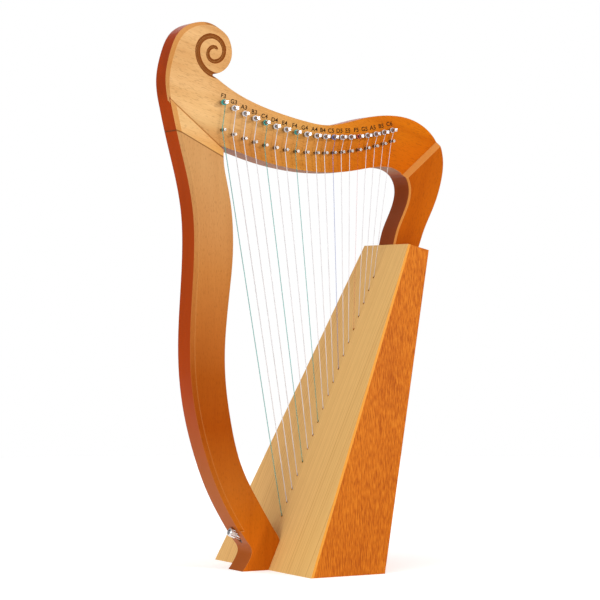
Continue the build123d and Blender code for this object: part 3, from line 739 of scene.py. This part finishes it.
def bolt_rings():
    """The bolt's rings from its tip to its head: distance from the face, radius, knurling."""
    head_start = HEAD_LENGTH - HEAD_PROUD
    return [
        (SHANK_END, 0.0, 0),
        (SHANK_END, SHANK_RADIUS * 0.7, 0),
        (SHANK_END - 1.2 * MM, SHANK_RADIUS, 0),
        (COLLAR_END, SHANK_RADIUS, 0),
        (COLLAR_END, COLLAR_RADIUS, 0),
        (head_start, COLLAR_RADIUS, 0),
        (head_start, HEAD_RADIUS * 0.90, 0.2),
        (head_start - 0.6 * MM, HEAD_RADIUS, 0.6),
        (head_start - 1.2 * MM, HEAD_RADIUS, 1),
        (-HEAD_PROUD + 2.2 * MM, HEAD_RADIUS, 1),
        (-HEAD_PROUD + 1.4 * MM, HEAD_RADIUS * 0.985, 0.5),
        (-HEAD_PROUD + 0.6 * MM, HEAD_RADIUS * 0.91, 0),
        (-HEAD_PROUD + 0.15 * MM, HEAD_RADIUS * 0.80, 0),
        (-HEAD_PROUD, HEAD_RADIUS * 0.70, 0),
    ]


def bolt_point(depth, angle, radius):
    """A point round the bolt's axis, at a depth behind the face under its head."""
    around = ACROSS * math.cos(angle) + BOARD_UP * math.sin(angle)
    return BOLT_FACE + INWARD * depth + around * radius


def bolt():
    """A socket-head bolt: knurled rim, rounded top edge and a hexagonal socket."""
    vertices = []
    for depth, ring_radius, knurling in bolt_rings():
        for k in range(BOLT_SIDES):
            notch = KNURL_SHAPE[k % len(KNURL_SHAPE)] * KNURL_DEPTH * knurling
            radius = max(ring_radius - notch, 0.0)
            vertices.append(bolt_point(depth, 2 * math.pi * k / BOLT_SIDES, radius))
    for depth in (-HEAD_PROUD, -HEAD_PROUD + SOCKET_DEPTH):
        for k in range(BOLT_SIDES):
            angle = 2 * math.pi * k / BOLT_SIDES
            from_flat = (angle + math.pi / 6) % (math.pi / 3) - math.pi / 6
            radius = SOCKET_RADIUS * math.cos(math.pi / 6) / math.cos(from_flat)
            vertices.append(bolt_point(depth, angle, radius))

    faces = []
    last_ring = len(vertices) - BOLT_SIDES
    for a in range(0, last_ring, BOLT_SIDES):
        b = a + BOLT_SIDES
        for k in range(BOLT_SIDES):
            after = (k + 1) % BOLT_SIDES
            faces.append((a + k, a + after, b + after, b + k))
    faces.append(tuple(range(last_ring, len(vertices))))
    piece = new_mesh("bolt_detail", vertices, faces, bolt_steel, smooth=False)
    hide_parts("pillar_bolt")


bolt()


# ---------------------------------------------------------------- note names
LABEL_HEIGHT = 5.4 * MM
CAPITAL_SHARE = 0.72  # a capital's height as a share of the font's size
LABEL_RISE = 6.1 * MM  # from the pin's axis to the foot of the letters
LABEL_PROUD = 0.03 * MM
LABEL_DEPTH, LABEL_BOLDNESS = 0.01 * MM, 0.16 * MM
LABEL_LEAN = 0.5  # share of the row's slope that the letters follow
PIN_ARC_LOW = 92.7  # lowest point of the tuning pins' arc, mm from the toe
PIN_ARC_RISE = 0.00154  # rise in mm for each square mm aside


def label(index, note):
    """A note's name printed on the pin face above its tuning pin, turned a little with the row.

    The first names stand a little to the right of their pins, the last ones to the left.
    """
    text = bpy.data.curves.new(f"label_{note}", "FONT")
    text.body = note
    text.size = LABEL_HEIGHT / CAPITAL_SHARE
    text.align_x = "CENTER"
    text.align_y = "BOTTOM_BASELINE"
    text.extrude = LABEL_DEPTH
    text.resolution_u = 4
    text.space_character = 1.05
    text.offset = LABEL_BOLDNESS
    text.materials.append(label_ink)
    piece = bpy.data.objects.new(f"label_{note}", text)
    bpy.context.scene.collection.objects.link(piece)
    pin = PIN_PLACES[index]
    slope = 2 * PIN_ARC_RISE * ((pin.x - TOE.x) / MM - PIN_ARC_LOW)
    aside = max(2.3 - 0.28 * index, -0.8) * MM
    piece.location = (pin.x + aside, PIN_FACE - LABEL_PROUD, pin.z + LABEL_RISE)
    piece.rotation_euler = (math.radians(90), 0, 0)
    piece.rotation_euler.rotate_axis("Z", math.atan(slope) * LABEL_LEAN)
    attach(piece, "frame")


for index, note in enumerate(NOTES):
    label(index, note)


# ---------------------------------------------------------------- floor, light, camera
FLOOR_RADIUS, FLOOR_SIDES = 2.2, 64
BRIGHTEST_SKY = Vector((-0.30, -0.75, 0.60)).normalized()
SKY_COLOUR = (1.0, 0.985, 0.96, 1)
CAMERA_PLACE = (-1.4746, -2.5791, 0.3250)
CAMERA_TURN = math.radians(29.681)  # from square on to the harp's side, toward the pillar
CAMERA_LENS, CAMERA_SENSOR, CAMERA_SHIFT = 141.96, 36.0, 0.0121


def floor():
    """White paper that glows a little, so that only a soft shadow shows on it."""
    n = Nodes("floor_paper")
    grain = n.noise(n.grain_space((0, 0, 0), (40, 40, 40)), detail=3)
    n.join(n.ramp(grain, [(0.3, (0.77, 0.77, 0.77)), (0.7, (0.80, 0.80, 0.80))]),
           n.shader.inputs["Base Color"])
    n.fix(Roughness=0.9, Emission_Color=(1, 1, 1, 1), Emission_Strength=0.37)
    rim = []
    for k in range(FLOOR_SIDES):
        angle = 2 * math.pi * k / FLOOR_SIDES
        rim.append(Vector((FLOOR_RADIUS * math.cos(angle), FLOOR_RADIUS * math.sin(angle), 0)))
    whole = [tuple(range(FLOOR_SIDES))]
    new_mesh("floor", rim, whole, n.material, body=None, smooth=False)


def area_light(name, place, target, size, power):
    """A rectangular lamp at a place, turned toward its target."""
    light = bpy.data.lights.new(name, "AREA")
    light.shape = "RECTANGLE"
    light.size, light.size_y = size
    light.energy = power
    lamp = bpy.data.objects.new(name, light)
    bpy.context.scene.collection.objects.link(lamp)
    lamp.location = place
    lamp.rotation_euler = (Vector(target) - Vector(place)).to_track_quat("-Z", "Y").to_euler()


def studio():
    """A white backdrop, and for the light a soft studio that is brighter in front and above."""
    world = bpy.data.worlds.new("studio")
    world.use_nodes = True
    tree = world.node_tree
    where = tree.nodes.new("ShaderNodeTexCoord")
    toward = tree.nodes.new("ShaderNodeVectorMath")
    toward.operation = "DOT_PRODUCT"
    toward.inputs[1].default_value = BRIGHTEST_SKY
    tree.links.new(where.outputs["Generated"], toward.inputs[0])
    level = tree.nodes.new("ShaderNodeMapRange")
    for key, number in (("From Min", -1.0), ("From Max", 1.0), ("To Min", 0.18), ("To Max", 0.85)):
        level.inputs[key].default_value = number
    tree.links.new(toward.outputs["Value"], level.inputs["Value"])
    sky = tree.nodes["Background"]
    sky.inputs["Color"].default_value = SKY_COLOUR
    tree.links.new(level.outputs["Result"], sky.inputs["Strength"])
    backdrop = tree.nodes.new("ShaderNodeBackground")
    backdrop.inputs["Color"].default_value = (1, 1, 1, 1)
    backdrop.inputs["Strength"].default_value = 1.0
    path = tree.nodes.new("ShaderNodeLightPath")
    mix = tree.nodes.new("ShaderNodeMixShader")
    tree.links.new(path.outputs["Is Camera Ray"], mix.inputs["Fac"])
    tree.links.new(sky.outputs["Background"], mix.inputs[1])
    tree.links.new(backdrop.outputs["Background"], mix.inputs[2])
    tree.links.new(mix.outputs["Shader"], tree.nodes["World Output"].inputs["Surface"])
    bpy.context.scene.world = world


def camera():
    """A level camera, far enough away that the harp shows little perspective."""
    data = bpy.data.cameras.new("camera")
    data.sensor_width = CAMERA_SENSOR
    data.lens = CAMERA_LENS
    data.shift_y = CAMERA_SHIFT
    data.clip_end = 100.0
    eye = bpy.data.objects.new("camera", data)
    bpy.context.scene.collection.objects.link(eye)
    eye.location = CAMERA_PLACE
    eye.rotation_euler = (math.radians(90), 0, -CAMERA_TURN)
    bpy.context.scene.camera = eye


floor()
studio()
area_light("key", (1.25, -2.6, 1.25), (0, 0, 0.40), (0.25, 0.25), 32)
area_light("left", (-2.3, -0.8, 0.8), (0, 0, 0.3), (1.2, 1.6), 14)
area_light("top", (-0.2, -0.3, 2.4), (0, 0, 0.3), (2.0, 2.0), 14)
area_light("back", (0.8, 2.2, 1.4), (0, 0, 0.35), (1.6, 1.6), 10)
camera()
bpy.context.scene.view_settings.view_transform = "Standard"
